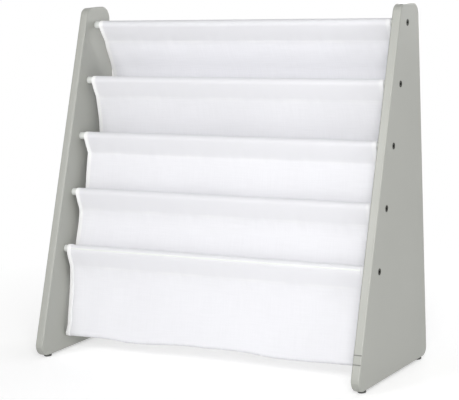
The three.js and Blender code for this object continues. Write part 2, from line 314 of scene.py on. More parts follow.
def moulded_polyethylene(settings):
    """Injection-moulded polyethylene: dark, waxy and dull, with the fine grain of its mould."""
    material, tree, shader, at = surface("moulded_polyethylene", settings.plastic, IOR=1.5)
    body = patchy(tree, noise(tree, at, 5 * MM), settings.plastic, 0.88, 1.1)
    gloss = spread(tree, noise(tree, at, 2 * MM), 0.5, 0.65)
    dressed(tree, shader, body, noise(tree, at, 0.7 * MM), 0.02 * MM, gloss)
    return material


def woven_canvas(settings):
    """White polyester canvas in a plain weave: matt and even, with faint thick yarns, a soft bloom
    at grazing angles and a little light coming through from behind. Where it lies double, along
    its hems and seams, less light comes through, and it is also painted whiter there as a painted
    highlight. The sleeves are painted a little darker, as painted shade."""
    white = settings.white
    feel = {"IOR": 1.45, "Roughness": 0.9, "Sheen_Weight": 0.08, "Sheen_Roughness": 0.5}
    material, tree, shader, at = surface("white_polyester_canvas", white, "cloth", **feel)
    # The real yarns lie about 0.5 mm apart. They are drawn 1.2 mm apart, as fine as can show.
    pitch = (math.pi / (1.2 * MM),) * 3
    across = node(tree, "ShaderNodeVectorMath", {0: at, 1: pitch}, operation="MULTIPLY")
    parts = node(tree, "ShaderNodeSeparateXYZ", {0: across.outputs[0]}).outputs
    weave = maths(tree, "MULTIPLY", *(maths(tree, "SINE", parts[i]) for i in (0, 1)))
    # A thick stretch of yarn is about 45 mm long and one or two yarns wide
    long, wide = 1 / (45 * MM), 1 / (1.8 * MM)
    yarns = []
    for stretch in ((long, wide, 1), (wide, long, 1)):
        along = node(tree, "ShaderNodeMapping", {"Vector": at, "Scale": stretch})
        yarns.append(noise(tree, along.outputs[0], 1, detail=1))
    uneven = maths(tree, "ADD", *yarns)
    tone = blended(tree, spread(tree, uneven, 0, 1, 0.8, 1.2), shade(white, 0.985), shade(white, 1.01))
    # The sleeves are painted darker by a share, as painted shade
    tone = blended(tree, attribute(tree, "over_rod"), tone, shade(white, settings.over_rod))
    # Where the cloth lies double less light comes through, and it is painted whiter there as a painted
    # highlight
    layers = attribute(tree, "layers")
    tone = blended(tree, layers, tone, settings.doubled_and_highlit)
    height = maths(tree, "ADD", weave, spread(tree, uneven, -0.4, 0.4, 0.8, 1.2))
    dressed(tree, shader, tone, height, 0.02 * MM)
    through = node(tree, "ShaderNodeBsdfTranslucent", {"Color": tone})
    clear = spread(tree, layers, settings.through_single, settings.through_double, 0.0, 1.0)
    mixed(tree, "Material Output", clear, shader, through)
    return material


def spun_thread(settings):
    """Spun polyester sewing thread: white and dull, like the cloth."""
    feel = {"Roughness": 0.75, "Sheen_Weight": 0.1}
    material, tree, shader, at = surface("spun_polyester_thread", settings.white, **feel)
    body = patchy(tree, noise(tree, at, 3 * MM), settings.white, 0.94, 1)
    # Thread twist is 0.4 mm a turn, and is drawn at 0.8 mm.
    dressed(tree, shader, body, noise(tree, at, 0.8 * MM), 0.03 * MM)
    return material


def placed(name, data):
    """A new object in the scene."""
    made = bpy.data.objects.new(name, data)
    bpy.context.scene.collection.objects.link(made)
    return made


def finished(name, mesh, material, slot, *nodes):
    """Puts a piece on the rack. It stands for the CAD nodes that are named."""
    piece = placed(name, mesh)
    mesh.name = name
    if material:
        mesh.materials.clear()
        mesh.materials.append(material)
    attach(piece, BODY)
    if nodes:
        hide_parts(*nodes)
    return piece


def taken_as_mesh(temporary):
    """The mesh of an object with its modifiers applied. The object is removed."""
    depsgraph = bpy.context.evaluated_depsgraph_get()
    evaluated = temporary.evaluated_get(depsgraph)
    mesh = bpy.data.meshes.new_from_object(evaluated, preserve_all_data_layers=True, depsgraph=depsgraph)
    bpy.data.objects.remove(temporary)
    return mesh


def taken_from(name, made):
    """The mesh of a bmesh, which is freed."""
    mesh = bpy.data.meshes.new(name)
    made.to_mesh(mesh)
    made.free()
    return mesh


def mark(mesh, name, values, domain="POINT"):
    """Stores a number for each point or corner of a mesh under that name."""
    flat = np.asarray(values, np.float32).reshape(-1)
    mesh.attributes.new(name, "FLOAT", domain).data.foreach_set("value", flat)


def rounded_outline(corners, radii, steps):
    """The points of a counterclockwise polygon with each corner rounded to its radius."""
    points = []
    for i, corner in enumerate(corners):
        before = (corners[i - 1] - corner).normalized()
        after = (corners[(i + 1) % len(corners)] - corner).normalized()
        half = before.angle(after) / 2
        centre = corner + (before + after).normalized() * radii[i] / math.sin(half)
        start = corner + before * radii[i] / math.tan(half) - centre
        turn = math.pi - 2 * half
        for n in range(steps + 1):
            points.append(centre + Matrix.Rotation(turn * n / steps, 2) @ start)
    return points


# Sides of turned pieces: the tubes and the screw holes, and the small screws and glides
ROUND, SMALL_ROUND = 64, 48


def turned_mesh(name, profile, sides, closed=False):
    """A profile of (radius, along) pairs turned about X. A radius may be a function of the angle.
    A closed profile joins its last pair to its first, as on a tube."""
    made = bmesh.new()
    rings = []
    for radius, along in profile:
        if radius == 0:
            rings.append([made.verts.new((along, 0, 0))])
            continue
        ring = []
        for n in range(sides):
            angle = 2 * math.pi * n / sides
            r = radius(angle) if callable(radius) else radius
            ring.append(made.verts.new((along, r * math.cos(angle), r * math.sin(angle))))
        rings.append(ring)
    pairs = list(zip(rings, rings[1:])) + ([(rings[-1], rings[0])] if closed else [])
    for first, second in pairs:
        for n in range(sides):
            m = (n + 1) % sides
            corners = [first[n % len(first)], first[m % len(first)]]
            corners += [second[m % len(second)], second[n % len(second)]]
            # A pole is a ring of one point, which the face takes only once
            made.faces.new(list(dict.fromkeys(corners)))
    bmesh.ops.recalc_face_normals(made, faces=made.faces)
    mesh = taken_from(name, made)
    mesh.shade_smooth()
    mesh.set_sharp_from_angle(angle=math.radians(32))
    return mesh


# Room round a screw in its hole, and the depth at which the hole's cone starts
HOLE_PLAY = 0.35 * MM
CONE_START = 3 * HOLE_PLAY
# Steps round a corner of the panel and across its rounded rim
CORNER_STEPS, RIM_STEPS = 14, 4
# A face belongs to the front edge's band where this much of its normal points forward
FACES_FRONT = 0.9


def countersink(settings, side):
    """The cutter for one screw hole, with its zero on the outer face of the panel on that side."""
    head, shank = settings.screw_head / 2 + HOLE_PLAY, settings.screw_shank / 2 + HOLE_PLAY
    deep, outside = -2 * panel_thickness, panel_thickness
    taper = settings.screw_head / 2 - settings.screw_shank / 2
    profile = [(0, deep), (shank, deep), (shank, -taper - CONE_START)]
    profile += [(head, -CONE_START), (head, outside), (0, outside)]
    cutter = turned_mesh("countersink", profile, ROUND)
    cutter.transform(Matrix.Diagonal((side, 1, 1, 1)))
    if side < 0:
        cutter.flip_normals()
    return cutter


def joint_heights(settings):
    """The heights of the two joints, which lie at both ends of the band's short closing piece."""
    return settings.joint_height, settings.joint_height - settings.joint_piece


def joint_groove(settings, corners, height):
    """The cutter for the fine groove where two lengths of the front edge's band meet."""
    foot, top = corners[0], corners[-1]
    along = (top - foot).normalized()
    place = foot + along * (height - foot.y) / along.y
    made = bmesh.new()
    bmesh.ops.create_cube(made, size=1)
    depth = settings.joint_depth
    made.transform(Matrix.Diagonal((panel_thickness + depth, 2 * depth, settings.joint_width, 1)))
    made.transform(Matrix.Rotation(-math.atan2(along.x, along.y), 4, "X"))
    made.transform(Matrix.Translation((0, place.x, place.y)))
    return taken_from("groove", made)


def panel_mesh(settings, rods, side):
    """One side panel: its outline rounded at the corners and along both rims, with screw holes,
    and on the right one the two joints of its front edge, which the photograph shows there alone."""
    back, foot, top = panel_high.y, panel_low.z, panel_high.z
    lean = (settings.foot_depth - settings.top_depth) / top
    # From the front foot round by the back to the front top
    corners = [(back - settings.foot_depth + foot * lean, foot), (back, foot), (back, top)]
    corners = [Vector(corner) for corner in (*corners, (back - settings.top_depth, top))]
    places = ("front_foot", "back_foot", "back_top", "front_top")
    radii = [getattr(settings, f"{place}_radius") for place in places]
    made = bmesh.new()
    outline = rounded_outline(corners, radii, CORNER_STEPS)
    face = made.faces.new([made.verts.new((side * panel_low.x, *p)) for p in outline])
    pushed = bmesh.ops.extrude_face_region(made, geom=[face])
    moved = [v for v in pushed["geom"] if isinstance(v, bmesh.types.BMVert)]
    bmesh.ops.translate(made, vec=(side * panel_thickness, 0, 0), verts=moved)
    bmesh.ops.recalc_face_normals(made, faces=made.faces)
    rims = [e for e in made.edges if len({round(v.co.x, 6) for v in e.verts}) == 1]
    rounding = {"offset": settings.edge_rounding, "segments": RIM_STEPS, "profile": 0.5}
    bmesh.ops.bevel(made, geom=rims, offset_type="OFFSET", affect="EDGES", clamp_overlap=True, **rounding)

    work = placed("panel_work", taken_from("panel", made))
    cuts = [(countersink(rods, side), (side * panel_high.x, rod.y, rod.z)) for rod in rod_places]
    if side > 0:
        middle = ((panel_low.x + panel_high.x) / 2, 0, 0)
        cuts += [(joint_groove(settings, corners, height), middle) for height in joint_heights(settings)]
    cutter_mesh = bmesh.new()
    for cut, place in cuts:
        cut.transform(Matrix.Translation(place))
        cutter_mesh.from_mesh(cut)
        bpy.data.meshes.remove(cut)
    cutter = placed("panel_cutters", taken_from("cutters", cutter_mesh))
    hole = work.modifiers.new("holes", "BOOLEAN")
    hole.operation, hole.solver, hole.object = "DIFFERENCE", "EXACT", cutter
    result = taken_as_mesh(work)
    bpy.data.objects.remove(cutter)
    return result


def mark_rims(mesh, width):
    """Stores the attribute rim: 1 in the middle of the rounded rims, width in from the faces, and
    0 at twice that depth and on the faces."""
    co = np.empty(len(mesh.vertices) * 3)
    mesh.vertices.foreach_get("co", co)
    x = np.abs(co.reshape(-1, 3)[:, 0])
    depth = np.minimum(x - panel_low.x, panel_high.x - x)
    near = np.clip(depth / width, 0, 1) * np.clip(2 - depth / width, 0, 1)
    # The lacquer paints the rims lighter by this mark: partly wear, partly a painted highlight
    mark(mesh, "rim", near)


def mark_front_edge(mesh, settings):
    """Stores 1 on the faces of the front edge's band as the attribute band, and on those inside
    its joints as the attribute joint, else 0."""
    along = Vector((settings.foot_depth - settings.top_depth, panel_high.z)).normalized()
    inward = Vector((along.y, -along.x))
    foot = Vector((panel_high.y - settings.foot_depth, 0))
    in_lit_band, in_joint = np.zeros(len(mesh.loops)), np.zeros(len(mesh.loops))
    for face in mesh.polygons:
        corners = list(face.loop_indices)
        at = Vector(face.center.yz) - foot
        beside = min(abs(at.dot(along) - height / along.y) for height in joint_heights(settings))
        # Inside the groove, up to a tenth past its floor and past its sides
        shallow = 0.1 * settings.joint_depth < at.dot(inward) < 1.1 * settings.joint_depth
        if shallow and beside < 0.6 * settings.joint_width:
            in_joint[corners] = 1
        elif Vector(face.normal.yz).dot(inward) < -FACES_FRONT:
            in_lit_band[corners] = 1
    # The band's mark paints the front edge lighter in the lacquer, as painted light
    mark(mesh, "band", in_lit_band, "CORNER")
    mark(mesh, "joint", in_joint, "CORNER")


def weighted(mesh):
    """Smooth shading that keeps large faces flat."""
    mesh.shade_smooth()
    mesh.set_sharp_from_angle(angle=math.radians(50))
    work = placed("shading_work", mesh)
    evened = work.modifiers.new("evened", "WEIGHTED_NORMAL")
    evened.keep_sharp, evened.weight = True, 100
    return taken_as_mesh(work)


class BOOKSHELF_OT_side_panels(bpy.types.Operator):
    """Make the two lacquered side panels"""

    bl_idname = "bookshelf.side_panels"
    bl_label = "Side Panels"

    def execute(self, context):
        settings = context.scene.bookshelf
        lacquer = lacquered_board(settings.panels)
        for label, side in SIDES.items():
            mesh = weighted(panel_mesh(settings.panels, settings.rods, side))
            mark_rims(mesh, settings.panels.edge_rounding / 2)
            mark_front_edge(mesh, settings.panels)
            finished(f"{label}_panel", mesh, lacquer, "painted_board", f"{label}_side_panel")
        return {"FINISHED"}


class BOOKSHELF_OT_rods(bpy.types.Operator):
    """Make the five rods, and finish the inserts in their ends"""

    bl_idname = "bookshelf.rods"
    bl_label = "Rods"

    def execute(self, context):
        settings = context.scene.bookshelf.rods
        coat = powder_coated_steel(settings)
        zinc = plated_steel("zinc_plated_steel", settings.zinc, 0.35)
        bore = rod_radius - settings.tube_wall
        broken = settings.end_break
        half = rod_high.x
        end = [(bore, half - broken), (bore + broken, half)]
        end += [(rod_radius - broken, half), (rod_radius, half - broken)]
        profile = end + [(radius, -along) for radius, along in reversed(end)]
        for i, place in zip(RODS, rod_places):
            mesh = turned_mesh(f"rod_tube_{i}", profile, ROUND, closed=True)
            mesh.transform(Matrix.Translation((0, place.y, place.z)))
            finished(f"rod_tube_{i}", mesh, coat, "rod_paint", f"rod_{i}")
            for label in SIDES:
                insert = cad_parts[f"rod_{i}_{label}_insert"]
                insert.data.materials.clear()
                insert.data.materials.append(zinc)
        return {"FINISHED"}


def hexagon(across_flats, rounding=0.12):
    """The radius of a hexagon at each angle, with its corners eased a little."""

    def radius(angle):
        turn = angle % (math.pi / 3) - math.pi / 6
        return across_flats / 2 / math.cos(turn * (1 - rounding))

    return radius


def screw_mesh(settings):
    """A countersunk screw that points along -X, with its zero on the panel's outer face."""
    head, shank = settings.screw_head / 2, settings.screw_shank / 2
    # The head's top lies just under the panel's face, over a straight rim and the cone
    top, rim, ease = -0.3 * MM, 0.5 * MM, 0.25 * MM
    tip_bevel, socket_bevel, drilled = 0.9 * MM, 0.8 * MM, 0.5 * MM
    cone, tip = top - rim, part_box("rod_1_right_screw")[0].x - panel_high.x
    socket, floor = hexagon(settings.screw_socket), top - settings.socket_depth
    profile = [(0, tip), (shank - tip_bevel, tip), (shank, tip + tip_bevel)]
    profile += [(shank, cone - (head - shank)), (head, cone), (head, top - ease), (head - ease, top)]
    profile += [(settings.screw_socket / 2 + socket_bevel, top), (socket, top - ease), (socket, floor)]
    return turned_mesh("screw", [*profile, (0, floor - drilled)], SMALL_ROUND)


def node_group(name, kinds):
    """A Geometry Nodes tree that takes and gives geometry and takes inputs of those kinds: the
    tree, its sockets by their names, and the outputs that bring them into the tree."""
    tree = bpy.data.node_groups.new(name, "GeometryNodeTree")
    sockets = {
        title: tree.interface.new_socket(title, in_out="INPUT", socket_type=f"NodeSocket{kind}")
        for title, kind in {"Geometry": "Geometry", **kinds, "Finish": "Material"}.items()
    }
    tree.interface.new_socket("Geometry", in_out="OUTPUT", socket_type="NodeSocketGeometry")
    return tree, sockets, tree.nodes.new("NodeGroupInput").outputs


def end_group(tree, points, instance, rotation, finish):
    """Ends a tree in copies on points, made real and given their material."""
    settings = {"Points": points, "Instance": instance, "Rotation": rotation}
    copies = node(tree, "GeometryNodeInstanceOnPoints", settings)
    real = node(tree, "GeometryNodeRealizeInstances", {"Geometry": copies.outputs[0]})
    painted = node(tree, "GeometryNodeSetMaterial", {"Geometry": real.outputs[0], "Material": finish})
    node(tree, "NodeGroupOutput", {"Geometry": painted.outputs[0]})


def stored(tree, name, kind):
    """A value that the points store under that name."""
    return node(tree, "GeometryNodeInputNamedAttribute", {"Name": name}, data_type=kind).outputs[0]


def placing_tree():
    """Geometry Nodes: puts one piece on every point, turned by the point's yaw and a random turn."""
    kinds = {"Piece": "Object", "Largest Turn": "Float", "Seed": "Int"}
    tree, sockets, given = node_group("Pieces On Points", kinds)
    piece = node(tree, "GeometryNodeObjectInfo", {"Object": given["Piece"], "As Instance": True})
    settings = {2: 0.0, 3: given["Largest Turn"], "Seed": given["Seed"]}
    turn = node(tree, "FunctionNodeRandomValue", settings, data_type="FLOAT").outputs[1]
    rotation = node(tree, "ShaderNodeCombineXYZ", {"X": turn, "Z": stored(tree, "yaw", "FLOAT")})
    end_group(tree, given["Geometry"], piece.outputs["Geometry"], rotation.outputs[0], given["Finish"])
    return tree, sockets


def run_tree(mesh, tree, sockets, values):
    """The mesh that a Geometry Nodes tree makes from a mesh, with inputs set by their names."""
    work = placed("nodes_work", mesh)
    modifier = work.modifiers.new("nodes", "NODES")
    modifier.node_group = tree
    for name, value in values.items():
        modifier[sockets[name].identifier] = value
    return taken_as_mesh(work)


def on_points(unit, places, yaws, largest_turn, seed, material):
    """Copies of a mesh at those places, made by the placing tree."""
    points = bpy.data.meshes.new("points")
    points.from_pydata([tuple(p) for p in places], [], [])
    mark(points, "yaw", yaws)
    piece = placed("unit_piece", unit)
    values = {"Piece": piece, "Largest Turn": largest_turn, "Seed": seed, "Finish": material}
    made = run_tree(points, *placing_tree(), values)
    bpy.data.objects.remove(piece)
    return made


class BOOKSHELF_OT_screws(bpy.types.Operator):
    """Make the ten countersunk screws that hold the rods"""

    bl_idname = "bookshelf.screws"
    bl_label = "Screws"

    def execute(self, context):
        settings = context.scene.bookshelf.rods
        black = plated_steel("black_oxide_steel", settings.black, 0.42)
        places = [(side * panel_high.x, p.y, p.z) for side in SIDES.values() for p in rod_places]
        yaws = [0.0 if side > 0 else math.pi for side in SIDES.values() for _ in rod_places]
        mesh = on_points(screw_mesh(settings), places, yaws, math.pi / 3, 4, black)
        nodes = [f"rod_{i}_{label}_screw" for i in RODS for label in SIDES]
        finished("rod_screws", mesh, None, "black_steel", *nodes)
        return {"FINISHED"}


class BOOKSHELF_OT_glides(bpy.types.Operator):
    """Make the four nail-on glides"""

    bl_idname = "bookshelf.glides"
    bl_label = "Glides"

    def execute(self, context):
        settings = context.scene.bookshelf.glides
        names = [f"{label}_{place}_glide" for label in SIDES for place in ("front", "back")]
        low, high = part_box(names[0])
        radius, nail = (high.x - low.x) / 2, settings.nail / 2
        # The disc stops just under the panel, and the nail's point is as long as the nail is thick
        disc, bevel, r = panel_low.z - 0.3 * MM, 0.4 * MM, settings.rounding
        turns = [math.pi / 2 * n / 5 for n in range(6)]
        rim = [(radius - r + r * math.sin(a), r - r * math.cos(a)) for a in turns]
        profile = [(0, 0), *rim, (radius, disc - bevel), (radius - bevel, disc), (nail, disc)]
        profile += [(nail, high.z - 2 * nail), (0, high.z)]
        unit = turned_mesh("glide", profile, SMALL_ROUND)
        unit.transform(Matrix.Rotation(-math.pi / 2, 4, "Y"))
        centres = [sum(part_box(name), Vector()) / 2 for name in names]
        places = [(c.x, c.y, 0) for c in centres]
        mesh = on_points(unit, places, [0.0] * 4, 0.0, 1, moulded_polyethylene(settings))
        finished("foot_glides", mesh, None, "glide_plastic", *names)
        return {"FINISHED"}


# The sling's side view, from the top: how far each seam hangs behind its rod, how far each pocket's
# back wall and its fold lie behind the next rod, in steps from rod to rod, and how far the back
# wall and the front wall lean back at their seams, as shares of their height
SEAM_SWINGS = (7.75 * MM, 3.1 * MM, 1.24 * MM, 0.0, -1.24 * MM)
MOUTH_STEPS = (1.93, 1.3, 0.675, 0.6)
FOLD_STEPS = (1.115, 0.23, -0.185, -0.42)
WALL_LEANS = (0.36, 0.3, -0.1, 0.2)
FRONT_LEANS = (-0.2, -0.1, 0.0, -0.2)
# How far each fold hangs above the lowest point of the CAD model's pocket, without its waves
FOLD_LIFTS = (2.2 * MM, 2.2 * MM, 2.2 * MM, -0.8 * MM)
# The bottom pocket's fold along the rack: places as shares of its half width, and rises in mm
FOLD_PLACES = (
    -1, -0.85, -0.72, -0.56, -0.42, -0.24, -0.12, -0.02, 0.08, 0.2, 0.29, 0.36, 0.45, 0.55, 0.64, 0.82, 1
)
FOLD_RISES = (-1, 0, 0.8, -3.3, -2.2, 1.7, 3.2, 2.4, 3.6, 2.8, 2, -1.6, -1.9, -2.4, -1.6, 0.2, 0)
# Waves along the rack: the height of each, and its radians from the rack's middle to its side
WALL_WAVES = ((1.3 * MM, 2.5 * math.pi), (0.8 * MM, 5.3), (0.5 * MM, 11.7))
LEANING_WAVE = (0.5 * MM, 7.9)
FOLD_WAVES = ((1.6 * MM, 4.1), (0.9 * MM, 9.3))
# The puckers along a seam: the height of each kind and its width, and how far they reach
PUCKERS = ((0.22 * MM, 21 * MM), (0.2 * MM, 29 * MM), (0.18 * MM, 41 * MM), (0.16 * MM, 67 * MM))
PUCKER_REACH = 13 * MM
# The soft dent beside each panel: its place and width as shares of half the cloth's width, its
# depth, and the depth of the right one as a share of that
DENT_PLACE, DENT_WIDTH, DENT_DEPTH, RIGHT_DENT = 0.86, 0.09, 1.8 * MM, 0.8
# Where the cloth's width changes: how far from a seam it is drawn in, how far it takes to flare,
# and the part of a wall, from the fold up, whose corner sticks out
GATHER_REACH, FLARE_REACH, CORNER_PART = 12 * MM, 40 * MM, 0.12
# How much narrower the cloth is than the CAD model's, and the width at each side that the hem takes
SIDE_SLACK, EDGE_BAND = 1 * MM, 11 * MM
# How many points the cloth has between its hems, and a seam's line of stitches from side to side
CLOTH_POINTS, SEAM_POINTS = 129, 160
# Where a hem's stitches run, as a share of its width, and how far from the sides a seam's end
HEM_STITCHES, SEAM_END = 0.78, 1.5 * MM
# How strongly the cloth is painted whiter along a seam, where it lies double and as a painted
# highlight that comes and goes in streaks, how far that reaches, and how strongly the right hem
# is painted whiter, as a share of the left one, with a weaker painted highlight
SEAM_HIGHLIGHT, SEAM_HIGHLIGHT_REACH, RIGHT_HEM_HIGHLIGHT = 0.42, 2.4 * MM, 0.45
# How far the cloth lies from the middle of its seam, in layers, and the air between two layers
SEAM_LAYERS, LAYER_GAP = 1.5, 0.05 * MM
# How far a sleeve's circle hangs below its rod's
SLEEVE_SAG = 0.45 * MM
# How far apart the points of the side view's line lie, and how many points to each side, and how
# wide in points, the bell curve is that softens its corners
CLOSE, SOFT_REACH, SOFT_WIDTH = 0.5 * MM, 5, 2.2
# The line turns where its heading changes by more than this many radians from point to point, as
# the mean of so many points. Stations lie closest there, close near a seam and wider elsewhere.
TURNS, TURN_POINTS, NEAR_SEAM = 0.02, 9, 24 * MM
TURNING_STEP, SEAM_STEP, WIDE_STEP = 2.2 * MM, 3.8 * MM, 11 * MM


def bell(value, width):
    """A bell curve: 1 where the value is 0, and near 0 from twice that width on."""
    return np.exp(-((value / width) ** 2))


def waves(u, kinds, phases):
    """The sum of waves along u. Each kind is a height, and the radians to one unit of u."""
    return sum(height * np.sin(rate * u + phase) for (height, rate), phase in zip(kinds, phases))


def straight(a, b):
    """Close points from a to b."""
    steps = max(2, round(float(np.linalg.norm(b - a)) / CLOSE))
    return a + (b - a) * np.linspace(0, 1, steps + 1)[:, None]


def bow(a, leaving, b, arriving):
    """Close points on a smooth curve that leaves a and arrives at b in those directions."""
    size = float(np.linalg.norm(b - a))
    leaving, arriving = (np.array(d) / np.linalg.norm(d) * size for d in (leaving, arriving))
    t = np.linspace(0, 1, max(2, round(size / CLOSE)) + 1)[:, None]
    from_a, to_b = (2 * t**3 - 3 * t**2 + 1) * a, (3 * t**2 - 2 * t**3) * b
    return from_a + (t**3 - 2 * t**2 + t) * leaving + to_b + (t**3 - t**2) * arriving


def arc(centre, radius, start, end):
    """Close points on an arc, by its angles in the side view."""
    steps = max(4, round(abs(end - start) * radius / CLOSE))
    angles = np.linspace(start, end, steps + 1)
    return centre + radius * np.stack([np.cos(angles), np.sin(angles)], 1)


def tangent_angle(centre, radius, point, side):
    """The angle at which a line from the point touches the circle, on one side of it."""
    towards = point - centre
    return math.atan2(towards[1], towards[0]) + side * math.acos(radius / float(np.linalg.norm(towards)))


class Strip:
    """The sling's cloth as one strip in the side view, from its first end behind the top rod,
    over each rod and round each pocket, to its last end behind the bottom rod.

    The arrays hold one value for each station along the strip: its way along the cloth, its place
    and outward direction in the side view, half the width, the seam as counted from the top, the
    share of the way from seam to fold, the way to the nearest seam, and 1 where it is a sleeve."""

    def __init__(self, settings):
        self.settings = settings
        self.layer = settings.cloth + LAYER_GAP
        rods = [np.array([p.y, p.z]) for p in rod_places]
        seams = [np.array([rod[0] + SEAM_SWINGS[i], seam_heights[i]]) for i, rod in enumerate(rods)]
        apart = np.array([SEAM_LAYERS * self.layer, 0.0])
        last = len(rods) - 1
        self.parts = []
        first, final = (
            settings.seam_tail * np.array(d) / np.linalg.norm(d)
            for d in ((WALL_LEANS[0], -1), (-FRONT_LEANS[-1], -1))
        )
        self.add(straight(seams[0] + apart + first, seams[0] + apart), (0, 0))
        # The last wall comes up in front of its rod, so the last sleeve runs the other way round
        for i, rod in enumerate(rods):
            loop = self.loop(rod, seams[i], apart)
            self.add(loop if i < last else loop[::-1], (i, i), sleeve=True)
            if i < last:
                self.wall(i, rods, seams, apart, settings.fold_radius, -1 if i + 1 == last else 1)
        self.add(straight(seams[last] + apart, seams[last] + apart + final), (last, last))
        self.take_stations()

    def add(self, points, seams, shares=(0, 0), sleeve=False):
        """Adds a part of the strip. seams counts the seams from the top, with the folds halfway
        between, and shares is the part of the way from seam to fold, both at its two ends."""
        count = len(points)
        columns = (np.linspace(*pair, count) for pair in (seams, shares, (sleeve, sleeve)))
        self.parts.append(np.column_stack([points, *columns]))

    def loop(self, rod, seam, apart):
        """The sleeve from its seam up behind the rod, over it and down to the seam in front."""
        radius = rod_radius + self.settings.sleeve_ease + self.settings.cloth / 2
        centre = rod - np.array([0.0, SLEEVE_SAG])
        back, front = seam + apart, seam - apart
        start = tangent_angle(centre, radius, back, 1)
        end = tangent_angle(centre, radius, front, -1) + 2 * math.pi
        over = arc(centre, radius, start, end)
        return np.concatenate([straight(back, over[0])[:-1], over, straight(over[-1], front)[1:]])

    def wall(self, k, rods, seams, apart, radius, side):
        """Pocket k: its back wall, its fold and its front wall up to the next seam."""
        rod = rods[k + 1]
        start = seams[k] - apart
        end = seams[k + 1] + side * apart
        mouth = rod + np.array([MOUTH_STEPS[k] * rod_step_back, 0.0])
        fold = np.array([rod[0] + FOLD_STEPS[k] * rod_step_back, fold_heights[k] + radius + FOLD_LIFTS[k]])
        fold_back = fold + [radius, 0]
        upper = bow(start, (WALL_LEANS[k], -1), mouth, fold_back - start)
        lower = bow(mouth, fold_back - start, fold_back, (0.0, -1.0))
        turned = arc(fold, radius, 0, tangent_angle(fold, radius, end, 1) - 2 * math.pi)
        front = bow(turned[-1], end - turned[-1], end, (FRONT_LEANS[k], 1))
        self.add(np.concatenate([upper, lower[1:]]), (k, k + 0.5), (0, 1))
        self.add(turned, (k + 0.5, k + 0.5), (1, 1))
        self.add(front, (k + 0.5, k + 1), (1, 0))

    def take_stations(self):
        """Joins the parts, softens the corners and picks stations, closer where the cloth turns."""
        *lines, seam, share, over_rod = np.concatenate(self.parts).T
        kernel = np.exp(-0.5 * (np.arange(-SOFT_REACH, SOFT_REACH + 1) / SOFT_WIDTH) ** 2)
        kernel /= kernel.sum()
        lines = [np.convolve(np.pad(line, SOFT_REACH, "edge"), kernel, "valid") for line in lines]
        points = np.stack(lines, 1)
        way = np.concatenate([[0], np.cumsum(np.linalg.norm(np.diff(points, axis=0), axis=1))])
        # A sleeve starts and ends at its seam
        ends = np.cumsum([len(part) for part in self.parts])
        sleeves = [(end - len(part), end - 1) for part, end in zip(self.parts, ends) if part[0, -1]]
        self.seam_ways = way[np.array(sleeves).reshape(-1)]
        from_seam = np.abs(way[:, None] - self.seam_ways).min(1)
        heading = np.gradient(points, axis=0)
        turn = np.abs(np.gradient(np.unwrap(np.arctan2(heading[:, 1], heading[:, 0]))))
        turn = np.convolve(turn, np.ones(TURN_POINTS) / TURN_POINTS, "same")
        plain_step = np.where(from_seam < NEAR_SEAM, SEAM_STEP, WIDE_STEP)
        step = np.where(turn > TURNS, TURNING_STEP, plain_step)
        places = [0.0]
        while places[-1] < way[-1]:
            at = places[-1] + float(np.interp(places[-1], way, step))
            places.append(min(at, way[-1]))
        self.way = np.array(places)
        values = (*lines, seam, share, from_seam, over_rod)
        picked = [np.interp(self.way, way, value) for value in values]
        self.y, self.z, self.seam, self.share, self.from_seam, self.over_rod = picked
        along = np.stack([np.gradient(self.y), np.gradient(self.z)], 1)
        along /= np.linalg.norm(along, axis=1)[:, None]
        self.out = np.stack([along[:, 1], -along[:, 0]], 1)
        self.half = self.half_width()

    def half_width(self):
        """Half the strip's width: drawn in at the seams, wider on the walls, and drawn out to the
        sides where the corner of a fold sticks out."""
        settings = self.settings
        drawn_in = settings.gather * bell(self.from_seam, GATHER_REACH)
        widened = settings.flare * (1 - np.exp(-self.from_seam / FLARE_REACH)) * (self.share > 0)
        corner = settings.fold_corner * np.clip(1 - (1 - self.share) / CORNER_PART, 0, 1) ** 2
        plain = np.interp(self.seam, np.arange(len(sleeve_halves)), sleeve_halves) - SIDE_SLACK
        return plain - drawn_in + widened + corner

    def nearest(self, way):
        """The station nearest to a way along the strip."""
        return int(np.abs(self.way - way).argmin())

    def points(self, share, offset, depth, rows=slice(None)):
        """Points on the cloth. share runs from -1 to 1 across it, offset moves them along X and
        depth outward from the cloth's middle, all of the same length, for each station in rows."""
        y, z, half = (values[rows, None] for values in (self.y, self.z, self.half))
        out = self.out[rows]
        x = share * (half - EDGE_BAND) + offset
        dy, dz = self.settled(x / half, x, rows)
        return np.stack([x, y + dy + depth * out[:, :1], z + dz + depth * out[:, 1:]], 2)

    def settled(self, u, x, rows):
        """How far the cloth lies from its plain shape, front to back and in height: waves along
        the walls and folds, puckers along the seams, and soft dents beside the panels."""
        share, from_seam = self.share[rows, None], self.from_seam[rows, None]
        seam = self.seam[rows, None]
        rng = np.random.default_rng(self.settings.seed)
        dy, dz = np.zeros((2, *u.shape))
        belly = np.sin(np.pi * np.clip(share, 0, 1))
        hang = np.clip(share, 0, 1) ** 2
        dents = DENT_DEPTH * bell(np.abs(u) - DENT_PLACE, DENT_WIDTH) * np.where(u < 0, 1.0, RIGHT_DENT)
        for k in range(len(POCKETS)):
            here = (np.floor(seam) == k) * 1.0
            first, *phases = rng.uniform(0, 2 * math.pi, 8)
            wave = waves(u, WALL_WAVES, (0.5 * first, *phases)) + dents
            leaning = waves(u, (LEANING_WAVE,), (5 * share + phases[2],))
            dy += here * (wave * belly + leaning * hang)
            bottom = k == len(POCKETS) - 1
            dz += here * hang * (bottom_fold(u) if bottom else waves(u, FOLD_WAVES, phases[3:]))
        kinds = [(height, 2 * math.pi / width) for height, width in PUCKERS]
        puckers = waves(x, kinds, [phase + 1.7 * seam for phase in rng.uniform(0, 2 * math.pi, len(kinds))])
        return dy + puckers * bell(from_seam, PUCKER_REACH), dz


